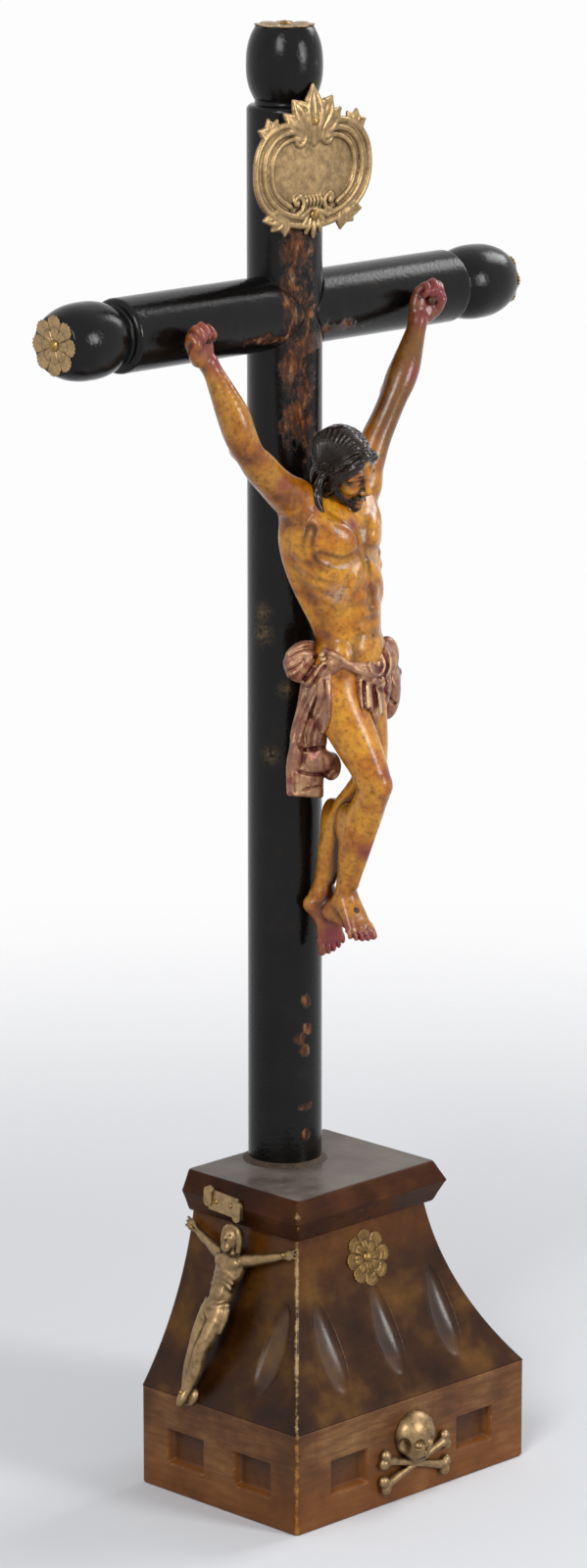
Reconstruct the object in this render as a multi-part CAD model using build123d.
from build123d import *
import os
from math import atan2, cos, radians, sin

# Standing table crucifix: a turned cross on a flared wooden base, with a carved figure and brass mounts.
# Millimetres, +Z up, -Y is the front, the origin is the centre of the underside of the base.

# Base blocks
BASE_WIDTH = 146.0
BASE_DEPTH = 98.0
PLINTH_HEIGHT = 46.0
PLINTH_CORNER_RADIUS = 2.0
BODY_HEIGHT = 75.5
BODY_TOP_WIDTH_SHARE = 0.5582
BODY_TOP_WIDTH = BODY_TOP_WIDTH_SHARE * BASE_WIDTH
BODY_TOP_DEPTH = 66.0
FLARE_SAG = 5.0
CAP_HEIGHT = 18.8
CAP_WIDTH_SHARE = 0.5986
CAP_WIDTH = CAP_WIDTH_SHARE * BASE_WIDTH
CAP_DEPTH = 69.2
CAP_POINT = 4.2
CAP_POINT_HEIGHT = 9.8

# Sunk panels of the plinth
PANEL_WIDTH = 23.5
PANEL_HEIGHT = 16.5
PANEL_DEPTH = 4.5
PANEL_WALL_ANGLE = 18.0
PANEL_LEVEL = 21.5
FRONT_PANEL_SPACING = 80.0
SIDE_PANEL_SPACING = 42.0

# Gouged flutes of the base body
FLUTE_SPACING = 36.0
FLUTE_LENGTH = 36.0
FLUTE_TOP_RADIUS = 4.4
FLUTE_BOTTOM_RADIUS = 7.0
FLUTE_SINK = 2.6
FLUTE_BOTTOM_LEVEL = 57.0
SIDE_FLUTE_PLACE = -18.0

# Turned cross
OVERALL_HEIGHT = 650.0
POST_DIAMETER = 33.0
POST_BACK_INSET = 1.4
TENON_DIAMETER = 22.0
TENON_LENGTH = 48.0
BEAM_DROP = 125.7
BEAM_DIAMETER = 32.4
BEAM_SPAN = 272.0
SPIGOT_DIAMETER = 14.0
BALL_DIAMETER = 33.4
BALL_LENGTH = 32.0
BALL_END_DIAMETER = 25.0
NECK_DIAMETER = 26.0
NECK_GAP = 1.6
SHOULDER_RADIUS = 2.6
CROSS_PIN_DIAMETER = 3.0
GLUE_WIDTH = 2.6
GLUE_HEIGHT = 2.0

# Brass rosettes and their pins
ROSETTE_DIAMETER = 26.5
ROSETTE_THICKNESS = 0.8
ROSETTE_PETALS = 8
PETAL_WIDTH_SHARE = 0.27
PETAL_BELLY_SHARE = 0.62
HUB_SHARE = 0.56
BASE_ROSETTE_LEVEL = 105.0
PIN_DIAMETER = 1.6
PIN_LENGTH = 9.0
PIN_HEAD_DIAMETER = 5.0
PIN_HEAD_HEIGHT = 1.4

# Brass title cartouche, its forms as shares of its width
CARTOUCHE_WIDTH = 71.0
CARTOUCHE_DROP = 62.0
CARTOUCHE_THICKNESS = 1.0
CARTOUCHE_RIM_RISE = 1.2
FIELD_SHARES = (0.36, 0.27)
RIM_SHARES = (0.43, 0.33)
RIM_INNER_SHARES = (0.335, 0.245)
SCROLL_RADIUS_SHARE = 0.085
SCROLL_PLACE_SHARES = ((0.415, 0.185), (0.36, -0.245))
CREST_ROOT_SHARE = 0.27
CREST_LEAF_SHARES = ((0, 0.27), (24, 0.24), (48, 0.19), (70, 0.15))
SHELL_ROOT_SHARE = -0.27
SHELL_LEAF_SHARES = ((0, 0.13), (32, 0.125), (62, 0.115))
SPRIG_ROOT_SHARES = (0.22, 0.28)
SPRIG_LEAF_SHARES = ((50, 0.16), (85, 0.13))
LEAF_WIDTH_SHARE = 0.34
CARTOUCHE_NAIL_SHARE = 0.285

# Carved figure, hung with its hands level with the beam, as tall as its share of the drop from the beam
# to the base; stations are shares of its height:
# across, out from the front of the beam, up from the beam's axis, then the half widths of the section
FIGURE_DROP_SHARE = 0.651
FIGURE_BEAM_GAP = 0.2
TRUNK_SHARES = (
    (-0.016, -0.066, -0.300, 0.050, 0.026),
    (-0.017, -0.067, -0.318, 0.084, 0.042),
    (-0.018, -0.068, -0.342, 0.100, 0.054),
    (-0.020, -0.070, -0.376, 0.106, 0.063),
    (-0.015, -0.073, -0.410, 0.100, 0.064),
    (-0.007, -0.077, -0.445, 0.089, 0.062),
    (0.001, -0.081, -0.480, 0.077, 0.056),
    (0.008, -0.084, -0.515, 0.069, 0.050),
    (0.010, -0.085, -0.545, 0.066, 0.048),
    (0.007, -0.083, -0.575, 0.071, 0.052),
    (0.004, -0.081, -0.600, 0.072, 0.053),
    (0.002, -0.080, -0.625, 0.060, 0.045),
    (0.000, -0.082, -0.648, 0.036, 0.028),
)
RIGHT_LEG_SHARES = (
    (-0.026, -0.076, -0.585, 0.024, 0.024),
    (-0.030, -0.080, -0.615, 0.039, 0.039),
    (-0.031, -0.088, -0.648, 0.046, 0.046),
    (-0.027, -0.102, -0.682, 0.045, 0.045),
    (-0.020, -0.119, -0.717, 0.042, 0.042),
    (-0.014, -0.136, -0.750, 0.038, 0.038),
    (-0.009, -0.151, -0.780, 0.033, 0.034),
    (-0.005, -0.160, -0.812, 0.031, 0.032),
    (-0.001, -0.147, -0.840, 0.029, 0.030),
    (0.001, -0.130, -0.870, 0.031, 0.032),
    (0.002, -0.115, -0.902, 0.031, 0.032),
    (0.003, -0.102, -0.938, 0.027, 0.028),
    (0.005, -0.088, -0.980, 0.020, 0.021),
    (0.006, -0.078, -1.016, 0.018, 0.019),
    (0.010, -0.080, -1.044, 0.019, 0.021),
    (0.019, -0.096, -1.068, 0.021, 0.019),
    (0.028, -0.116, -1.087, 0.021, 0.013),
    (0.036, -0.133, -1.101, 0.016, 0.008),
)
LEFT_LEG_SHARES = (
    (0.030, -0.074, -0.585, 0.024, 0.024),
    (0.035, -0.076, -0.615, 0.039, 0.039),
    (0.037, -0.081, -0.648, 0.046, 0.046),
    (0.037, -0.088, -0.682, 0.044, 0.044),
    (0.036, -0.095, -0.717, 0.041, 0.041),
    (0.036, -0.102, -0.750, 0.037, 0.037),
    (0.035, -0.107, -0.785, 0.032, 0.033),
    (0.034, -0.106, -0.817, 0.030, 0.031),
    (0.030, -0.089, -0.845, 0.029, 0.030),
    (0.024, -0.070, -0.875, 0.031, 0.031),
    (0.018, -0.053, -0.908, 0.031, 0.031),
    (0.012, -0.042, -0.945, 0.026, 0.026),
    (0.005, -0.034, -0.985, 0.019, 0.020),
    (0.000, -0.029, -1.017, 0.018, 0.019),
    (-0.006, -0.028, -1.046, 0.019, 0.020),
    (-0.007, -0.041, -1.076, 0.020, 0.018),
    (-0.005, -0.054, -1.101, 0.020, 0.013),
    (-0.003, -0.064, -1.121, 0.015, 0.008),
)
NECK_SHARES = (
    (-0.014, -0.066, -0.333, 0.036, 0.034),
    (-0.016, -0.076, -0.301, 0.033, 0.031),
    (-0.026, -0.095, -0.257, 0.033, 0.031),
)
HEAD_SHARES = (
    (-0.037, -0.127, -0.190, 0.018, 0.016),
    (-0.036, -0.125, -0.197, 0.036, 0.031),
    (-0.033, -0.119, -0.214, 0.054, 0.046),
    (-0.028, -0.112, -0.238, 0.059, 0.051),
    (-0.023, -0.105, -0.264, 0.054, 0.049),
    (-0.017, -0.105, -0.287, 0.044, 0.042),
    (-0.012, -0.107, -0.311, 0.032, 0.030),
    (-0.007, -0.109, -0.329, 0.018, 0.017),
)
NOSE_SHARES = (
    (-0.017, -0.158, -0.262, 0.008, 0.007),
    (-0.010, -0.159, -0.290, 0.010, 0.008),
    (-0.009, -0.154, -0.297, 0.009, 0.009),
)
RIGHT_LOCK_SHARES = (
    (-0.076, -0.095, -0.269, 0.016, 0.013),
    (-0.086, -0.097, -0.297, 0.015, 0.012),
    (-0.084, -0.105, -0.325, 0.012, 0.010),
    (-0.079, -0.113, -0.351, 0.006, 0.005),
)
LEFT_LOCK_SHARES = (
    (0.020, -0.091, -0.269, 0.016, 0.013),
    (0.036, -0.091, -0.301, 0.014, 0.011),
    (0.044, -0.099, -0.327, 0.006, 0.006),
)
RIGHT_ARM_SHARES = (
    (-0.060, -0.066, -0.336, 0.022, 0.022),
    (-0.080, -0.065, -0.322, 0.034, 0.034),
    (-0.100, -0.064, -0.309, 0.037, 0.037),
    (-0.128, -0.066, -0.290, 0.032, 0.032),
    (-0.160, -0.068, -0.266, 0.029, 0.029),
    (-0.194, -0.070, -0.240, 0.027, 0.027),
    (-0.222, -0.070, -0.211, 0.025, 0.026),
    (-0.236, -0.068, -0.183, 0.027, 0.028),
    (-0.246, -0.063, -0.150, 0.028, 0.029),
    (-0.256, -0.054, -0.116, 0.024, 0.025),
    (-0.266, -0.043, -0.082, 0.018, 0.019),
    (-0.274, -0.035, -0.056, 0.015, 0.017),
    (-0.283, -0.027, -0.034, 0.020, 0.025),
    (-0.294, -0.022, -0.006, 0.021, 0.031),
    (-0.304, -0.022, 0.018, 0.021, 0.029),
    (-0.312, -0.024, 0.036, 0.014, 0.016),
)
LEFT_ARM_SHARES = (
    (0.046, -0.054, -0.350, 0.022, 0.022),
    (0.062, -0.050, -0.332, 0.034, 0.034),
    (0.078, -0.046, -0.311, 0.036, 0.036),
    (0.096, -0.043, -0.275, 0.030, 0.030),
    (0.117, -0.043, -0.233, 0.026, 0.026),
    (0.138, -0.046, -0.194, 0.024, 0.024),
    (0.155, -0.048, -0.161, 0.024, 0.025),
    (0.170, -0.048, -0.136, 0.026, 0.027),
    (0.184, -0.047, -0.111, 0.026, 0.027),
    (0.203, -0.044, -0.082, 0.021, 0.022),
    (0.221, -0.038, -0.055, 0.016, 0.017),
    (0.230, -0.033, -0.040, 0.015, 0.017),
    (0.240, -0.027, -0.022, 0.020, 0.024),
    (0.254, -0.022, 0.000, 0.021, 0.030),
    (0.266, -0.022, 0.020, 0.021, 0.028),
    (0.275, -0.024, 0.036, 0.014, 0.016),
)
WRAP_SHARES = (
    (0.007, -0.080, -0.556, 0.073, 0.055, 20),
    (0.007, -0.080, -0.574, 0.083, 0.064, 20),
    (0.006, -0.081, -0.594, 0.085, 0.066, 18),
    (0.005, -0.082, -0.612, 0.080, 0.061, 16),
    (0.004, -0.082, -0.655, 0.083, 0.063, 12),
    (0.004, -0.083, -0.700, 0.086, 0.066, 8),
)
BARE_HIP_SHARES = (-0.060, -0.150, -0.720)
BARE_HIP_SIZE_SHARES = (0.140, 0.130, 0.200)
KNOT_SHARES = (
    (-0.032, -0.059, -0.579, 0.010, 0.010),
    (-0.054, -0.053, -0.585, 0.024, 0.024),
    (-0.080, -0.048, -0.595, 0.030, 0.030),
    (-0.102, -0.045, -0.602, 0.022, 0.022),
    (-0.114, -0.043, -0.606, 0.008, 0.008),
)
BUNCH_SHARES = (
    (0.070, -0.082, -0.558, 0.010, 0.010),
    (0.084, -0.088, -0.578, 0.025, 0.025),
    (0.090, -0.090, -0.612, 0.028, 0.028),
    (0.087, -0.091, -0.655, 0.025, 0.025),
    (0.080, -0.092, -0.692, 0.010, 0.010),
)
FRONT_END_SHARES = (
    (0.014, -0.132, -0.598, 0.010, 0.010),
    (0.025, -0.138, -0.624, 0.019, 0.019),
    (0.030, -0.140, -0.664, 0.022, 0.022),
    (0.034, -0.140, -0.694, 0.010, 0.010),
)
DRAPE_SHARES = (
    (-0.063, -0.049, -0.626, 0.015, 0.014),
    (-0.064, -0.048, -0.662, 0.020, 0.016),
    (-0.064, -0.047, -0.717, 0.026, 0.018),
    (-0.062, -0.045, -0.777, 0.029, 0.019),
    (-0.060, -0.044, -0.833, 0.028, 0.018),
)
DRAPE_ROLL_SHARES = (
    (-0.052, -0.057, -0.761, 0.009, 0.009),
    (-0.034, -0.063, -0.771, 0.020, 0.020),
    (-0.018, -0.065, -0.787, 0.021, 0.021),
    (-0.010, -0.064, -0.809, 0.014, 0.014),
    (-0.011, -0.061, -0.825, 0.006, 0.006),
)
DRAPE_FOLDS = 5
DRAPE_ANGLE = -45.0
FOLD_OVERLAP_SHARE = 0.66
SHOULDER_DOWEL_DIAMETER = 5.0
SHOULDER_DOWEL_LENGTH = 18.0
HAND_NAIL_DIAMETER = 2.0
HAND_NAIL_SHARES = ((-0.294, -0.004), (0.254, 0.002))
HAND_NAIL_STANDS_SHARE = 0.047
FOOT_NAIL_DIAMETER = 2.4
FOOT_NAIL_SHARES = (0.002, -1.048)
FOOT_NAIL_STANDS_SHARE = 0.110
NAIL_HEAD_DIAMETER = 4.4
NAIL_HEAD_HEIGHT = 1.6
NAIL_GRIP = 12.0

# Small cast figure on the left side of the base; stations are shares of its height:
# across, out from its back plane, up from its feet, then the half widths of the section
SMALL_FIGURE_HEIGHT = 80.0
SMALL_FIGURE_PLACE = 14.0
SMALL_FIGURE_FOOT_LEVEL = 43.0
SMALL_FIGURE_GAP = 0.3
SMALL_TRUNK_SHARES = (
    (-0.060, 0.040, 0.030, 0.040, 0.026),
    (-0.056, 0.050, 0.120, 0.050, 0.036),
    (-0.040, 0.062, 0.300, 0.068, 0.048),
    (-0.020, 0.066, 0.460, 0.092, 0.058),
    (-0.010, 0.068, 0.560, 0.098, 0.060),
    (0.000, 0.064, 0.650, 0.080, 0.052),
    (0.006, 0.066, 0.780, 0.104, 0.056),
    (0.006, 0.066, 0.870, 0.100, 0.046),
    (0.006, 0.070, 0.920, 0.040, 0.034),
)
SMALL_HEAD_SHARES = (
    (0.004, 0.094, 0.890, 0.034, 0.032),
    (0.000, 0.108, 0.930, 0.060, 0.056),
    (0.000, 0.106, 0.980, 0.070, 0.064),
    (0.000, 0.094, 1.030, 0.058, 0.052),
    (0.000, 0.088, 1.050, 0.028, 0.026),
)
SMALL_ARM_SHARES = (
    (0.050, 0.056, 0.845, 0.026, 0.026),
    (0.090, 0.054, 0.858, 0.036, 0.036),
    (0.150, 0.046, 0.880, 0.032, 0.032),
    (0.210, 0.038, 0.902, 0.029, 0.029),
    (0.270, 0.032, 0.924, 0.027, 0.027),
    (0.330, 0.026, 0.950, 0.022, 0.022),
    (0.385, 0.026, 0.968, 0.024, 0.024),
)
SMALL_NAIL_SHARES = ((-0.362, 0.960), (0.362, 0.960), (-0.058, 0.070))
SMALL_NAIL_STANDS_SHARES = (0.060, 0.060, 0.092)
SMALL_NAIL_DIAMETER = 1.2
SMALL_NAIL_GRIP = 7.0
SMALL_NAIL_HEAD_DIAMETER = 2.4
SMALL_NAIL_HEAD_HEIGHT = 0.8

# Small title plate on the edge of the cap, its forms as shares of its width
PLATE_WIDTH = 23.0
PLATE_PLACE = 21.0
PLATE_THICKNESS = 1.0
PLATE_HEIGHT_SHARE = 0.40
PLATE_ANGLE = -3.0
PLATE_SCROLL_SHARE = 0.105
PLATE_DROP_SHARE = 0.060
PLATE_NAIL_SHARE = 0.20

# Cast skull over crossed bones, its forms as shares of the skull's width
SKULL_WIDTH = 20.0
SKULL_LEVEL = 28.5
SKULL_STATION_SHARES = (
    (0, 0.52, 0.18, 0.16),
    (0, 0.44, 0.36, 0.32),
    (0, 0.22, 0.49, 0.43),
    (0, 0.00, 0.50, 0.45),
    (0, -0.20, 0.43, 0.41),
    (0, -0.36, 0.32, 0.37),
    (0, -0.56, 0.27, 0.33),
    (0, -0.66, 0.20, 0.22),
)
SOCKET_RADIUS_SHARE = 0.125
SOCKET_SHARES = (0.19, -0.10, 0.40)
NOSE_HOLE_SHARES = (0.06, -0.30, 0.38)
BONE_LENGTH_SHARE = 2.05
BONE_RADIUS_SHARE = 0.085
BONE_KNOB_SHARE = 0.125
BONE_LEVEL_SHARE = -0.62
BONE_ANGLE = 17.0
PRONG_DIAMETER = 2.0
PRONG_LENGTH = 7.0
PRONG_LEVEL_SHARES = (0.16, -0.28)

# Shared working values
OVERRUN = 5.0
HALF_TURN = 180
OVAL_ARCS = 4
CAP_TOP = PLINTH_HEIGHT + BODY_HEIGHT + CAP_HEIGHT
BODY_TOP = PLINTH_HEIGHT + BODY_HEIGHT
BASE_BACK = BASE_DEPTH / 2
BEAM_LEVEL = OVERALL_HEIGHT - BEAM_DROP
CARTOUCHE_LEVEL = OVERALL_HEIGHT - CARTOUCHE_DROP
FIGURE_HEIGHT = FIGURE_DROP_SHARE * (BEAM_LEVEL - CAP_TOP)
POST_RADIUS = POST_DIAMETER / 2
BEAM_RADIUS = BEAM_DIAMETER / 2
POST_AXIS = BASE_BACK - POST_BACK_INSET - POST_RADIUS
POST_FRONT = POST_AXIS - POST_RADIUS
BEAM_FRONT = POST_AXIS - BEAM_RADIUS
POST_END = OVERALL_HEIGHT - ROSETTE_THICKNESS - PIN_HEAD_HEIGHT
BEAM_END = BEAM_SPAN / 2
ACROSS = Vector(1, 0, 0)
DEEP = Vector(0, 1, 0)


def facing_front(x, y, z):
    """Plane at a point with its normal to the front, its first axis across and its second axis up."""
    return Plane(origin=(x, y, z), x_dir=(1, 0, 0), z_dir=(0, -1, 0))


def facing_left(x, y, z):
    """Plane at a point with its normal to the left, its first axis to the front and its second axis up."""
    return Plane(origin=(x, y, z), x_dir=(0, -1, 0), z_dir=(-1, 0, 0))


def facing_right(x, y, z):
    """Plane at a point with its normal to the right, its first axis to the back and its second axis up."""
    return Plane(origin=(x, y, z), x_dir=(0, 1, 0), z_dir=(1, 0, 0))


def rod(start, end, radius):
    """Round rod from one point to another."""
    way = Vector(*end) - Vector(*start)
    return Part() + Solid.make_cylinder(radius, way.length, Plane(origin=start, z_dir=way))


def oval(wide, deep):
    """Closed oval of four arcs, drawn through eight points of an ellipse."""
    points = []
    for step in range(2 * OVAL_ARCS + 1):
        turn = radians(step * HALF_TURN / OVAL_ARCS + HALF_TURN / OVAL_ARCS)
        points.append((wide * cos(turn), deep * sin(turn)))
    return make_face([ThreePointArc(*points[first : first + 3]) for first in range(0, 2 * OVAL_ARCS, 2)])


def limb(stations, side):
    """Loft of ovals strung along a chain of stations, square to the chain, the first width along side."""
    centres = [Vector(*station[:3]) for station in stations]
    last = len(centres) - 1
    sections = []
    for place, station in enumerate(stations):
        ahead = (centres[min(place + 1, last)] - centres[max(place - 1, 0)]).normalized()
        level = Plane(origin=centres[place], x_dir=side - ahead * side.dot(ahead), z_dir=ahead)
        sections.append(level * oval(station[3], station[4]))
    return loft(sections, ruled=True)


def nail(plane, shank_radius, grip, head_radius, head_height, stands=0):
    """Nail along a plane's normal: a shank sunk by its grip, standing proud, with a domed head on it."""
    shank = nail_hole(plane, shank_radius, grip, stands)
    ball_radius = (head_radius ** 2 + head_height ** 2) / (2 * head_height)
    ball = plane.offset(stands + head_height - ball_radius) * Sphere(ball_radius)
    keep = plane.offset(stands) * Cylinder(
        head_radius, head_height, align=(Align.CENTER, Align.CENTER, Align.MIN)
    )
    return shank + (ball & keep)


def nail_hole(plane, shank_radius, grip, stands=0):
    """The room that a nail's shank takes in what it holds."""
    return plane.offset(-grip) * Cylinder(
        shank_radius, grip + stands, align=(Align.CENTER, Align.CENTER, Align.MIN)
    )


def leaf(root_x, root_y, turn, length, width):
    """Pointed leaf of two arcs from a root, its tip turned from straight up."""
    ahead = (sin(radians(turn)), cos(radians(turn)))
    aside = (ahead[1], -ahead[0])
    root = (root_x, root_y)
    tip = (root_x + ahead[0] * length, root_y + ahead[1] * length)
    middle = (root_x + ahead[0] * length * PETAL_BELLY_SHARE, root_y + ahead[1] * length * PETAL_BELLY_SHARE)
    half = width / 2
    one = ThreePointArc(root, (middle[0] + aside[0] * half, middle[1] + aside[1] * half), tip)
    two = ThreePointArc(tip, (middle[0] - aside[0] * half, middle[1] - aside[1] * half), root)
    return make_face([one, two])


def flare_profile(half_bottom, half_top, back):
    """Outline of the flared body seen square on: a concave arc in front, straight or mirrored behind."""
    middle = ((half_bottom + half_top) / 2, PLINTH_HEIGHT + BODY_HEIGHT / 2)
    run = Vector(half_top - half_bottom, BODY_HEIGHT).normalized()
    bow = (middle[0] - run.Y * FLARE_SAG, middle[1] + run.X * FLARE_SAG)
    low = (half_bottom, PLINTH_HEIGHT)
    high = (half_top, BODY_TOP)
    side = ThreePointArc(low, bow, high)
    if back is None:
        far_side = ThreePointArc((-high[0], high[1]), (-bow[0], bow[1]), (-low[0], low[1]))
    else:
        far_side = Line((-back, BODY_TOP), (-back, PLINTH_HEIGHT))
    top = Line(high, far_side @ 0)
    bottom = Line(far_side @ 1, low)
    return make_face([side, top, far_side, bottom])


def flared_block():
    """The body before carving: the front and the side view of the flare, each drawn through the other."""
    front_view = extrude(
        facing_front(0, 0, 0) * flare_profile(BASE_WIDTH / 2, BODY_TOP_WIDTH / 2, None), BASE_DEPTH, both=True
    )
    side_view = extrude(
        facing_left(0, 0, 0) * flare_profile(BASE_DEPTH / 2, BODY_TOP_DEPTH - BASE_BACK, BASE_BACK),
        BASE_WIDTH,
        both=True,
    )
    return front_view & side_view


def flute_cutter(foot, head):
    """Gouge cut: a tapering round channel with round ends."""
    way = Vector(*head) - Vector(*foot)
    plane = Plane(origin=foot, z_dir=way)
    channel = Solid.make_cone(FLUTE_BOTTOM_RADIUS, FLUTE_TOP_RADIUS, way.length, plane)
    low_end = Pos(*foot) * Sphere(FLUTE_BOTTOM_RADIUS)
    high_end = Pos(*head) * Sphere(FLUTE_TOP_RADIUS)
    return Part() + channel + low_end + high_end


def flare_centre(half_bottom, half_top):
    """Centre and radius of the flare's arc, seen square on."""
    run = Vector(half_top - half_bottom, BODY_HEIGHT)
    radius = (run.length ** 2 / 4 + FLARE_SAG ** 2) / (2 * FLARE_SAG)
    out = Vector(run.Y, -run.X).normalized()
    middle = Vector((half_bottom + half_top) / 2, PLINTH_HEIGHT + BODY_HEIGHT / 2)
    return middle + out * (radius - FLARE_SAG), radius


def flare_at(level, half_bottom, half_top):
    """Half width of the flared body at a height, on the same arc as its outline."""
    centre, radius = flare_centre(half_bottom, half_top)
    return centre.X - (radius ** 2 - (level - centre.Y) ** 2) ** 0.5


def base_plinth():
    """Low block with rounded corners, sunk panels and two holes for the skull's prongs."""
    block = extrude(RectangleRounded(BASE_WIDTH, BASE_DEPTH, PLINTH_CORNER_RADIUS), PLINTH_HEIGHT)
    panel = Rectangle(PANEL_WIDTH, PANEL_HEIGHT)
    for side in (-1, 1):
        across = side * FRONT_PANEL_SPACING / 2
        along = side * SIDE_PANEL_SPACING / 2
        for face in (
            facing_front(across, -BASE_DEPTH / 2, PANEL_LEVEL),
            facing_left(-BASE_WIDTH / 2, along, PANEL_LEVEL),
            facing_right(BASE_WIDTH / 2, along, PANEL_LEVEL),
        ):
            block -= extrude(face * panel, -PANEL_DEPTH, taper=PANEL_WALL_ANGLE)
    for share in PRONG_LEVEL_SHARES:
        block -= skull_prong(share)
    for plane in small_nail_planes():
        block -= nail_hole(plane, SMALL_NAIL_DIAMETER / 2, SMALL_NAIL_GRIP, OVERRUN)
    return block


def base_body():
    """Flared block with gouged flutes, the post's socket and the holes of the small nails."""
    block = flared_block()
    for place in (-1, 0, 1):
        ends = []
        for level, radius in (
            (FLUTE_BOTTOM_LEVEL + FLUTE_BOTTOM_RADIUS, FLUTE_BOTTOM_RADIUS),
            (FLUTE_BOTTOM_LEVEL + FLUTE_LENGTH - FLUTE_TOP_RADIUS, FLUTE_TOP_RADIUS),
        ):
            face = flare_at(level, BASE_DEPTH / 2, BODY_TOP_DEPTH - BASE_BACK)
            ends.append((place * FLUTE_SPACING, -face - radius + FLUTE_SINK, level))
        block -= flute_cutter(*ends)
    for side in (-1, 1):
        ends = []
        for level, radius in (
            (FLUTE_BOTTOM_LEVEL + FLUTE_BOTTOM_RADIUS, FLUTE_BOTTOM_RADIUS),
            (FLUTE_BOTTOM_LEVEL + FLUTE_LENGTH - FLUTE_TOP_RADIUS, FLUTE_TOP_RADIUS),
        ):
            face = flare_at(level, BASE_WIDTH / 2, BODY_TOP_WIDTH / 2)
            ends.append((side * (face + radius - FLUTE_SINK), SIDE_FLUTE_PLACE, level))
        block -= flute_cutter(*ends)
    block -= Pos(0, POST_AXIS, CAP_TOP - TENON_LENGTH) * Cylinder(
        TENON_DIAMETER / 2, TENON_LENGTH, align=(Align.CENTER, Align.CENTER, Align.MIN)
    )
    for plane in small_nail_planes():
        block -= nail_hole(plane, SMALL_NAIL_DIAMETER / 2, SMALL_NAIL_GRIP, OVERRUN)
    return block - nail_hole(base_rosette_pin_plane(), PIN_DIAMETER / 2, PIN_LENGTH)


def cap_outline(half, back):
    """Pointed edge of the slab seen square on: out to the point and back, mirrored or straight behind."""
    low, middle, high = BODY_TOP, BODY_TOP + CAP_POINT_HEIGHT, CAP_TOP
    front = [(half, low), (half + CAP_POINT, middle), (half, high)]
    if back is None:
        rear = [(-half, high), (-half - CAP_POINT, middle), (-half, low)]
    else:
        rear = [(-back, high), (-back, low)]
    return make_face(Polyline(*front, *rear, close=True))


def base_cap():
    """Slab with a pointed edge on three sides and a flat back, bored for the post's tenon."""
    front_view = extrude(facing_front(0, 0, 0) * cap_outline(CAP_WIDTH / 2, None), BASE_DEPTH, both=True)
    side_view = extrude(
        facing_left(0, 0, 0) * cap_outline(CAP_DEPTH - BASE_BACK, BASE_BACK), BASE_WIDTH, both=True
    )
    slab = front_view & side_view
    slab -= Pos(0, POST_AXIS, BODY_TOP) * Cylinder(
        TENON_DIAMETER / 2, CAP_HEIGHT, align=(Align.CENTER, Align.CENTER, Align.MIN)
    )
    for plane in plate_nail_planes():
        slab -= nail_hole(plane, SMALL_NAIL_DIAMETER / 2, SMALL_NAIL_GRIP)
    return slab


def post_foot_glue():
    """Bead of old glue round the foot of the post, cut off at the flat back of the cap."""
    corners = ((POST_RADIUS, 0), (POST_RADIUS + GLUE_WIDTH, 0), (POST_RADIUS, GLUE_HEIGHT))
    bead = revolve(Plane.XZ * make_face(Polyline(*corners, close=True)), Axis.Z)
    bead = Pos(0, POST_AXIS, CAP_TOP) * bead
    behind = Pos(0, BASE_BACK, CAP_TOP) * Box(
        BASE_WIDTH, BASE_DEPTH, BASE_DEPTH, align=(Align.CENTER, Align.MIN, Align.CENTER)
    )
    return bead - behind


def turned_end(shaft_radius, end):
    """Outline points of a turned end along a lathe axis: shoulder, neck groove, bulging ball and flat end."""
    ball_start = end - BALL_LENGTH
    shoulder = ball_start - NECK_GAP
    neck_radius = NECK_DIAMETER / 2
    round_over = ThreePointArc(
        (shaft_radius, shoulder - SHOULDER_RADIUS),
        (
            shaft_radius - SHOULDER_RADIUS * (1 - cos(radians(45))),
            shoulder - SHOULDER_RADIUS * (1 - sin(radians(45))),
        ),
        (shaft_radius - SHOULDER_RADIUS, shoulder),
    )
    groove = Line((shaft_radius - SHOULDER_RADIUS, shoulder), (neck_radius, ball_start))
    ball = ThreePointArc(
        (neck_radius, ball_start), (BALL_DIAMETER / 2, end - BALL_LENGTH / 2), (BALL_END_DIAMETER / 2, end)
    )
    face = Line((BALL_END_DIAMETER / 2, end), (0, end))
    return [round_over, groove, ball, face], (shaft_radius, shoulder - SHOULDER_RADIUS)


def upright_post():
    """Turned post with a tenon, a shoulder on the cap and a ball on top, bored across for the arms."""
    curves, shaft_end = turned_end(POST_RADIUS, POST_END)
    foot = CAP_TOP - TENON_LENGTH
    tenon_radius = TENON_DIAMETER / 2
    tenon = ((0, foot), (tenon_radius, foot), (tenon_radius, CAP_TOP))
    shaft = Polyline(*tenon, (POST_RADIUS, CAP_TOP), shaft_end)
    axis_line = Line((0, POST_END), (0, foot))
    post = revolve(Plane.XZ * make_face([shaft, *curves, axis_line]), Axis.Z)
    post = Pos(0, POST_AXIS, 0) * post
    bore_ends = ((side * POST_DIAMETER, POST_AXIS, BEAM_LEVEL) for side in (-1, 1))
    post -= rod(*bore_ends, SPIGOT_DIAMETER / 2)
    post -= cross_pin()
    post -= nail_hole(top_plane(), PIN_DIAMETER / 2, PIN_LENGTH)
    for plane in cartouche_nail_planes():
        post -= nail_hole(plane, PIN_DIAMETER / 2, PIN_LENGTH)
    return post - foot_nail_room()


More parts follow.
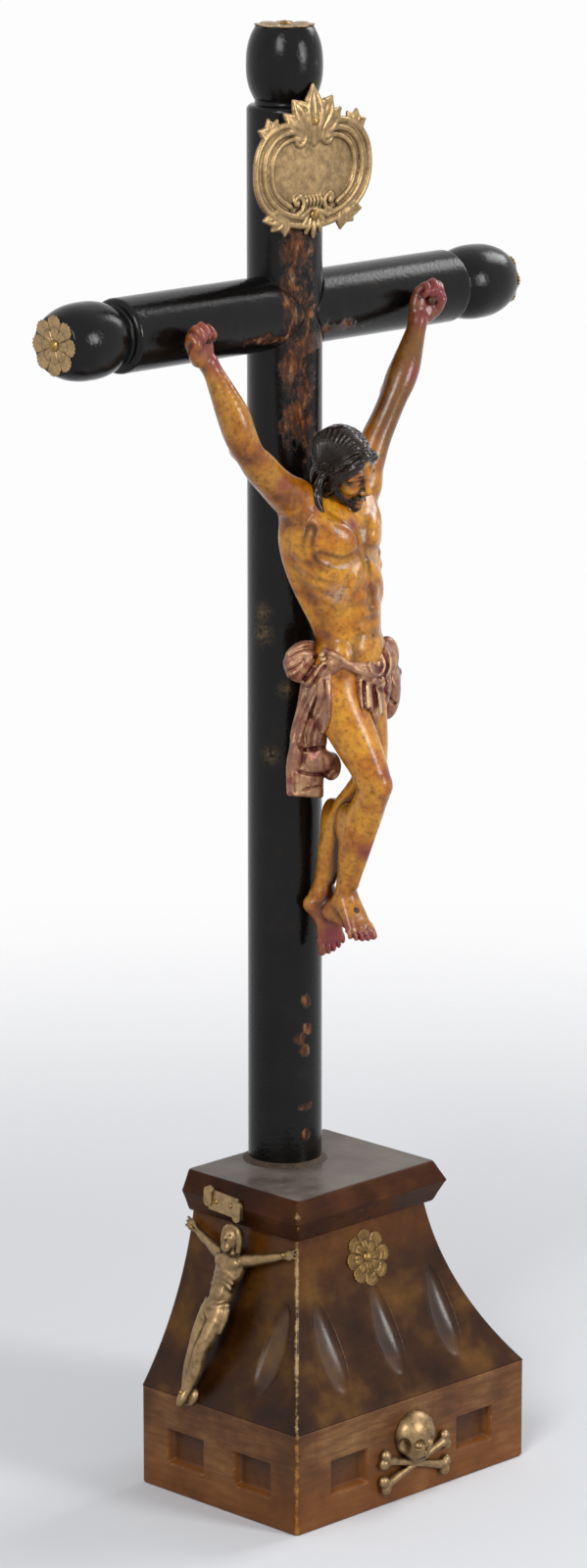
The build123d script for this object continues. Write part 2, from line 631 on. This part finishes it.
def right_arm_of_cross():
    """Turned arm along +X: coped on to the post, with a spigot into it and a ball at its end."""
    curves, shaft_end = turned_end(BEAM_RADIUS, BEAM_END)
    shaft = Polyline((0, 0), (BEAM_RADIUS, 0), shaft_end)
    axis_line = Line((0, BEAM_END), (0, 0))
    lathe = Plane(origin=(0, POST_AXIS, BEAM_LEVEL), x_dir=(0, 0, 1), z_dir=(0, 1, 0))
    spindle = Axis((0, POST_AXIS, BEAM_LEVEL), (1, 0, 0))
    turned = revolve(lathe * make_face([shaft, *curves, axis_line]), spindle)
    turned -= Pos(0, POST_AXIS, BEAM_LEVEL) * Cylinder(POST_RADIUS, POST_DIAMETER * 2)
    spigot_start = CROSS_PIN_DIAMETER / 2
    turned += rod(
        (spigot_start, POST_AXIS, BEAM_LEVEL), (POST_DIAMETER, POST_AXIS, BEAM_LEVEL), SPIGOT_DIAMETER / 2
    )
    return turned - nail_hole(right_end_plane(), PIN_DIAMETER / 2, PIN_LENGTH)


def left_cross_arm():
    """Left arm: the right one mirrored, with the nail hole of the figure's right hand."""
    return mirror(right_arm_of_cross(), about=Plane.YZ) - hand_nail_room(HAND_NAIL_SHARES[0])


def right_cross_arm():
    """Right arm with the nail hole of the figure's left hand."""
    return right_arm_of_cross() - hand_nail_room(HAND_NAIL_SHARES[1])


def cross_pin():
    """Peg from the front of the post to the middle of the crossing, between the two spigots."""
    return rod((0, POST_FRONT, BEAM_LEVEL), (0, POST_AXIS, BEAM_LEVEL), CROSS_PIN_DIAMETER / 2)


def rosette_outline():
    """Eight-leaved outline about the origin."""
    radius = ROSETTE_DIAMETER / 2
    outline = Sketch() + Circle(radius * HUB_SHARE)
    for petal in range(ROSETTE_PETALS):
        turn = petal * 2 * HALF_TURN / ROSETTE_PETALS
        outline += leaf(0, 0, turn, radius, radius * PETAL_WIDTH_SHARE * 2)
    return outline


def rosette(plane):
    """Stamped rosette lying on a plane, pierced for its pin."""
    disc = extrude(plane * rosette_outline(), ROSETTE_THICKNESS)
    return disc - extrude(plane * Circle(PIN_DIAMETER / 2), ROSETTE_THICKNESS)


def top_plane():
    """Flat top of the post's ball."""
    return Plane(origin=(0, POST_AXIS, POST_END))


def left_end_plane():
    """Flat end of the left arm's ball."""
    return facing_left(-BEAM_END, POST_AXIS, BEAM_LEVEL)


def right_end_plane():
    """Flat end of the right arm's ball."""
    return facing_right(BEAM_END, POST_AXIS, BEAM_LEVEL)


def base_rosette_pin_plane():
    """Where the pin of the base rosette enters the flared front, square to the flare."""
    halves = (BASE_DEPTH / 2, BODY_TOP_DEPTH - BASE_BACK)
    face = flare_at(BASE_ROSETTE_LEVEL, *halves)
    centre, _ = flare_centre(*halves)
    normal = (0, face - centre.X, centre.Y - BASE_ROSETTE_LEVEL)
    return Plane(origin=(0, -face, BASE_ROSETTE_LEVEL), x_dir=(1, 0, 0), z_dir=normal)


def base_rosette():
    """Rosette pressed to the flared front: its outline drawn through a skin of the block."""
    outline = facing_front(0, 0, BASE_ROSETTE_LEVEL) * rosette_outline()
    block = flared_block()
    skin = Pos(0, -ROSETTE_THICKNESS, 0) * block
    pressed = (extrude(outline, BASE_DEPTH) & skin) - block
    return pressed - nail_hole(base_rosette_pin_plane(), PIN_DIAMETER / 2, PIN_LENGTH, OVERRUN)


def rosette_pins():
    """Round-headed pins of the four rosettes."""
    pins = []
    for plane in (top_plane(), left_end_plane(), right_end_plane(), base_rosette_pin_plane()):
        pins.append(
            nail(
                plane,
                PIN_DIAMETER / 2,
                PIN_LENGTH,
                PIN_HEAD_DIAMETER / 2,
                PIN_HEAD_HEIGHT,
                ROSETTE_THICKNESS,
            )
        )
    return pins


def cartouche_plane():
    """Back of the cartouche, against the front of the post."""
    return facing_front(0, POST_FRONT, CARTOUCHE_LEVEL)


def cartouche_nail_planes():
    """Where the cartouche's two nails enter the post."""
    plane = cartouche_plane()
    reach = CARTOUCHE_NAIL_SHARE * CARTOUCHE_WIDTH
    return [facing_front(0, POST_FRONT, plane.origin.Z + side * reach) for side in (-1, 1)]


def title_cartouche():
    """Stamped shield: a bare field in a rim, with corner scrolls, a leaf crest, sprigs and a shell below."""
    plane = cartouche_plane()
    size = CARTOUCHE_WIDTH
    rise = CARTOUCHE_THICKNESS + CARTOUCHE_RIM_RISE
    field = Ellipse(*(share * size for share in FIELD_SHARES))
    rim = Ellipse(*(share * size for share in RIM_SHARES))
    rim -= Ellipse(*(share * size for share in RIM_INNER_SHARES))
    leaves = Sketch()
    fans = (
        (0, CREST_ROOT_SHARE, CREST_LEAF_SHARES, 1),
        (0, SHELL_ROOT_SHARE, SHELL_LEAF_SHARES, -1),
        (*SPRIG_ROOT_SHARES, SPRIG_LEAF_SHARES, 1),
    )
    for across, up, fan, way in fans:
        for side in (-1, 1):
            for turn, length in fan:
                angle = side * turn if way > 0 else HALF_TURN - side * turn
                reach = length * size
                leaves += leaf(side * across * size, up * size, angle, reach, reach * LEAF_WIDTH_SHARE)
    for across, up in SCROLL_PLACE_SHARES:
        for side in (-1, 1):
            rim += Pos(side * across * size, up * size) * Circle(SCROLL_RADIUS_SHARE * size)
    shield = extrude(plane * field, CARTOUCHE_THICKNESS) + extrude(plane * (rim + leaves), rise)
    for spot in cartouche_nail_planes():
        shield -= nail_hole(spot, PIN_DIAMETER / 2, 0, rise + OVERRUN)
    return shield


def cartouche_nails():
    """Round-headed pins of the cartouche."""
    rise = CARTOUCHE_THICKNESS + CARTOUCHE_RIM_RISE
    return [
        nail(spot, PIN_DIAMETER / 2, PIN_LENGTH, PIN_HEAD_DIAMETER / 2, PIN_HEAD_HEIGHT, rise)
        for spot in cartouche_nail_planes()
    ]


def figure(stations):
    """Stations of the carved figure at their real size and place."""
    placed = []
    for station in stations:
        x, y, z = station[:3]
        centre = (
            x * FIGURE_HEIGHT,
            BEAM_FRONT - FIGURE_BEAM_GAP + y * FIGURE_HEIGHT,
            BEAM_LEVEL + z * FIGURE_HEIGHT,
        )
        placed.append((*centre, *(width * FIGURE_HEIGHT for width in station[3:])))
    return placed


def carved_trunk():
    """Trunk, neck and head in one, lofted from the crown to the loins."""
    trunk = limb(figure(TRUNK_SHARES), ACROSS)
    neck = limb(figure(NECK_SHARES), ACROSS)
    head = limb(figure(HEAD_SHARES), DEEP)
    nose = limb(figure(NOSE_SHARES), DEEP)
    locks = [limb(figure(shares), DEEP) for shares in (RIGHT_LOCK_SHARES, LEFT_LOCK_SHARES)]
    return trunk + neck + head + nose + locks[0] + locks[1]


def carved_legs():
    """Both legs with their feet, the right foot laid over the left."""
    return limb(figure(RIGHT_LEG_SHARES), ACROSS) + limb(figure(LEFT_LEG_SHARES), ACROSS)


def shoulder_dowel(arm_shares):
    """Dowel half in the trunk and half in an arm, along the arm's first stretch."""
    first, second, third = (Vector(*station[:3]) for station in figure(arm_shares)[:3])
    ahead = (third - first).normalized()
    half = SHOULDER_DOWEL_LENGTH / 2
    return rod(second - ahead * half, second + ahead * half, SHOULDER_DOWEL_DIAMETER / 2)


def figure_plane(across, up):
    """Plane on the front of the beam at a place of the figure, facing the front."""
    return facing_front(across * FIGURE_HEIGHT, BEAM_FRONT, BEAM_LEVEL + up * FIGURE_HEIGHT)


def hand_nail_room(place):
    """Room of a hand's nail through the hand and into the beam."""
    stands = HAND_NAIL_STANDS_SHARE * FIGURE_HEIGHT
    return nail_hole(figure_plane(*place), HAND_NAIL_DIAMETER / 2, NAIL_GRIP, stands)


def foot_nail_room():
    """Room of the feet's nail through both feet and into the post."""
    stands = FOOT_NAIL_STANDS_SHARE * FIGURE_HEIGHT
    return nail_hole(figure_plane(*FOOT_NAIL_SHARES), FOOT_NAIL_DIAMETER / 2, NAIL_GRIP, stands)


def carved_arm(arm_shares, nail_place, trunk):
    """Arm and closed hand, seated on the trunk, bored for its dowel and its nail."""
    arm = limb(figure(arm_shares), DEEP)
    return arm - trunk - shoulder_dowel(arm_shares) - hand_nail_room(nail_place)


def loincloth(body):
    """Wrap with a rolled upper band, open over the right thigh, with a knot, a side bunch and a front end."""
    sections = []
    for x, y, z, wide, deep, tilt in WRAP_SHARES:
        centre = figure([(x, y, z)])[0]
        level = Plane(origin=centre, x_dir=(1, 0, 0), z_dir=(0, -sin(radians(tilt)), cos(radians(tilt))))
        sections.append(level * oval(wide * FIGURE_HEIGHT, deep * FIGURE_HEIGHT))
    wrap = loft(sections, ruled=True)
    bare = Box(*(share * FIGURE_HEIGHT for share in BARE_HIP_SIZE_SHARES))
    wrap -= Pos(*figure([BARE_HIP_SHARES])[0]) * bare
    for shares, side in ((KNOT_SHARES, DEEP), (BUNCH_SHARES, ACROSS), (FRONT_END_SHARES, ACROSS)):
        wrap += limb(figure(shares), side)
    return wrap - body


def loincloth_drape(body, cloth):
    """Long pleated end of the cloth under the knot at the right hip: lofted folds, rolled over below."""
    along = Vector(cos(radians(DRAPE_ANGLE)), sin(radians(DRAPE_ANGLE)), 0)
    hanging = Part()
    for fold in range(DRAPE_FOLDS):
        stations = []
        for x, y, z, half, depth in figure(DRAPE_SHARES):
            pitch = 2 * half / DRAPE_FOLDS
            centre = Vector(x, y, z) + along * (pitch * (fold - (DRAPE_FOLDS - 1) / 2))
            stations.append((*centre, pitch * FOLD_OVERLAP_SHARE, depth))
        hanging += limb(stations, along)
    hanging += limb(figure(DRAPE_ROLL_SHARES), DEEP)
    return hanging - body - cloth


def small_figure_plane():
    """Back plane of the small figure, leaning from the edge of the plinth to the neck of the body."""
    lean = atan2(BASE_WIDTH / 2 - BODY_TOP_WIDTH / 2, BODY_HEIGHT)
    normal = (-cos(lean), 0, sin(lean))
    foot = (-BASE_WIDTH / 2 - SMALL_FIGURE_GAP, SMALL_FIGURE_PLACE, SMALL_FIGURE_FOOT_LEVEL)
    return Plane(origin=foot, x_dir=(0, -1, 0), z_dir=normal)


def small_nail_planes():
    """Where the small figure's nails cross its back plane."""
    plane = small_figure_plane()
    planes = []
    for across, up in SMALL_NAIL_SHARES:
        spot = plane.from_local_coords((across * SMALL_FIGURE_HEIGHT, up * SMALL_FIGURE_HEIGHT, 0))
        planes.append(Plane(origin=spot, x_dir=plane.x_dir, z_dir=plane.z_dir))
    return planes


def small_stations(shares, side=1):
    """Stations of the small figure as across, up and out, mirrored for the other side."""
    placed = []
    for station in shares:
        x, out, up = station[:3]
        widths = (width * SMALL_FIGURE_HEIGHT for width in station[3:])
        placed.append(
            (side * x * SMALL_FIGURE_HEIGHT, up * SMALL_FIGURE_HEIGHT, out * SMALL_FIGURE_HEIGHT, *widths)
        )
    return placed


def small_corpus():
    """Small cast figure with spread arms, flat behind, pierced for its nails."""
    plane = small_figure_plane()
    cast = limb(small_stations(SMALL_TRUNK_SHARES), ACROSS) + limb(small_stations(SMALL_HEAD_SHARES), ACROSS)
    for side in (-1, 1):
        cast += limb(small_stations(SMALL_ARM_SHARES, side), Vector(0, 0, 1))
    back = Box(
        SMALL_FIGURE_HEIGHT * 2,
        SMALL_FIGURE_HEIGHT * 3,
        SMALL_FIGURE_HEIGHT,
        align=(Align.CENTER, Align.CENTER, Align.MAX),
    )
    cast = plane * (cast - back)
    for spot, stands in zip(small_nail_planes(), SMALL_NAIL_STANDS_SHARES):
        cast -= nail_hole(spot, SMALL_NAIL_DIAMETER / 2, 0, stands * SMALL_FIGURE_HEIGHT)
    return cast


def small_corpus_nails():
    """Nails through the hands and the feet of the small figure."""
    return [
        nail(
            spot,
            SMALL_NAIL_DIAMETER / 2,
            SMALL_NAIL_GRIP,
            SMALL_NAIL_HEAD_DIAMETER / 2,
            SMALL_NAIL_HEAD_HEIGHT,
            stands * SMALL_FIGURE_HEIGHT,
        )
        for spot, stands in zip(small_nail_planes(), SMALL_NAIL_STANDS_SHARES)
    ]


def plate_plane():
    """Back of the small title plate, against the pointed edge of the cap on the left."""
    edge = CAP_WIDTH / 2 + CAP_POINT
    return facing_left(-edge, PLATE_PLACE, BODY_TOP + CAP_POINT_HEIGHT)


def plate_nail_planes():
    """Where the plate's nails enter the edge of the cap."""
    edge = CAP_WIDTH / 2 + CAP_POINT
    reach = PLATE_NAIL_SHARE * PLATE_WIDTH
    level = BODY_TOP + CAP_POINT_HEIGHT
    return [facing_left(-edge, PLATE_PLACE + side * reach, level) for side in (-1, 1)]


def small_title_plate():
    """Bare scroll plate: an oblong between two rolled ends, pierced for its nails."""
    plane = plate_plane()
    tall = PLATE_WIDTH * PLATE_HEIGHT_SHARE
    roll = PLATE_WIDTH * PLATE_SCROLL_SHARE
    drop = PLATE_WIDTH * PLATE_DROP_SHARE
    outline = Rectangle(PLATE_WIDTH - 2 * roll, tall)
    ends = Sketch()
    for side in (-1, 1):
        place = side * (PLATE_WIDTH / 2 - roll)
        ends += Pos(place, -side * drop) * SlotCenterToCenter(tall - 2 * roll, 2 * roll, rotation=90)
    turned = plane * Rot(0, 0, PLATE_ANGLE)
    plate = extrude(turned * outline, PLATE_THICKNESS) + extrude(turned * ends, 2 * PLATE_THICKNESS)
    for spot in plate_nail_planes():
        plate -= nail_hole(spot, SMALL_NAIL_DIAMETER / 2, 0, OVERRUN)
    return plate


def small_plate_nails():
    """Nails of the small title plate."""
    return [
        nail(
            spot,
            SMALL_NAIL_DIAMETER / 2,
            SMALL_NAIL_GRIP,
            SMALL_NAIL_HEAD_DIAMETER / 2,
            SMALL_NAIL_HEAD_HEIGHT,
            PLATE_THICKNESS,
        )
        for spot in plate_nail_planes()
    ]


def skull_plane():
    """Front face of the plinth at the skull."""
    return facing_front(0, -BASE_DEPTH / 2, SKULL_LEVEL)


def skull_prong(share):
    """Prong cast on the back of the skull, driven into the plinth."""
    root = facing_front(0, -BASE_DEPTH / 2, SKULL_LEVEL + share * SKULL_WIDTH)
    return nail_hole(root, PRONG_DIAMETER / 2, PRONG_LENGTH)


def skull_and_bones():
    """Half-round skull with sockets over two crossed bones, flat behind, with its prongs."""
    size = SKULL_WIDTH
    plane = skull_plane()
    stations = []
    for x, up, wide, deep in SKULL_STATION_SHARES:
        stations.append((x * size, up * size, 0, wide * size, deep * size))
    cast = limb(stations, ACROSS)
    radius = SOCKET_RADIUS_SHARE * size
    for side in (-1, 1):
        for place, hole in ((SOCKET_SHARES, radius), (NOSE_HOLE_SHARES, radius / 2)):
            cast -= Pos(side * place[0] * size, place[1] * size, place[2] * size) * Sphere(hole)
    half = BONE_LENGTH_SHARE * size / 2
    shaft = BONE_RADIUS_SHARE * size
    knob = BONE_KNOB_SHARE * size
    for side in (-1, 1):
        ahead = Vector(cos(radians(BONE_ANGLE)), side * sin(radians(BONE_ANGLE)), 0)
        aside = Vector(-ahead.Y, ahead.X, 0)
        middle = Vector(0, BONE_LEVEL_SHARE * size, shaft)
        cast += rod(middle - ahead * half, middle + ahead * half, shaft)
        for end in (-1, 1):
            for edge in (-1, 1):
                cast += Pos(*(middle + ahead * (end * half) + aside * (edge * shaft))) * Sphere(knob)
    back = Box(size * 4, size * 4, size * 2, align=(Align.CENTER, Align.CENTER, Align.MAX))
    cast = plane * (cast - back)
    for share in PRONG_LEVEL_SHARES:
        cast += skull_prong(share)
    return cast


def save(name, *shapes):
    """Write one node; several shapes make a group of separate solids."""
    solids = [solid for shape in shapes for solid in shape.solids()]
    node = solids[0] if len(solids) == 1 else Compound(children=solids)
    export_step(node, os.path.join("parts", name + ".step"))


def main():
    os.makedirs("parts", exist_ok=True)
    save("base_plinth", base_plinth())
    save("base_body", base_body())
    save("base_cap", base_cap())
    save("post_foot_glue", post_foot_glue())
    save("upright_post", upright_post())
    save("left_cross_arm", left_cross_arm())
    save("right_cross_arm", right_cross_arm())
    save("cross_pin", cross_pin())
    save("top_rosette", rosette(top_plane()))
    save("left_end_rosette", rosette(left_end_plane()))
    save("right_end_rosette", rosette(right_end_plane()))
    save("base_rosette", base_rosette())
    save("rosette_pins", *rosette_pins())
    save("title_cartouche", title_cartouche())
    save("cartouche_nails", *cartouche_nails())

    trunk = carved_trunk()
    dowels = [shoulder_dowel(RIGHT_ARM_SHARES), shoulder_dowel(LEFT_ARM_SHARES)]
    carved = trunk + carved_legs()
    save("corpus_body", carved - dowels[0] - dowels[1] - foot_nail_room())
    save("corpus_right_arm", carved_arm(RIGHT_ARM_SHARES, HAND_NAIL_SHARES[0], trunk))
    save("corpus_left_arm", carved_arm(LEFT_ARM_SHARES, HAND_NAIL_SHARES[1], trunk))
    save("shoulder_dowels", *dowels)
    cloth = loincloth(carved)
    save("loincloth", cloth)
    save("loincloth_drape", loincloth_drape(carved, cloth))
    save(
        "hand_nails",
        *(
            nail(
                figure_plane(*place),
                HAND_NAIL_DIAMETER / 2,
                NAIL_GRIP,
                NAIL_HEAD_DIAMETER / 2,
                NAIL_HEAD_HEIGHT,
                HAND_NAIL_STANDS_SHARE * FIGURE_HEIGHT,
            )
            for place in HAND_NAIL_SHARES
        ),
    )
    save(
        "foot_nail",
        nail(
            figure_plane(*FOOT_NAIL_SHARES),
            FOOT_NAIL_DIAMETER / 2,
            NAIL_GRIP,
            NAIL_HEAD_DIAMETER / 2,
            NAIL_HEAD_HEIGHT,
            FOOT_NAIL_STANDS_SHARE * FIGURE_HEIGHT,
        ),
    )
    save("small_corpus", small_corpus())
    save("small_corpus_nails", *small_corpus_nails())
    save("small_title_plate", small_title_plate())
    save("small_plate_nails", *small_plate_nails())
    save("skull_and_bones", skull_and_bones())


main()
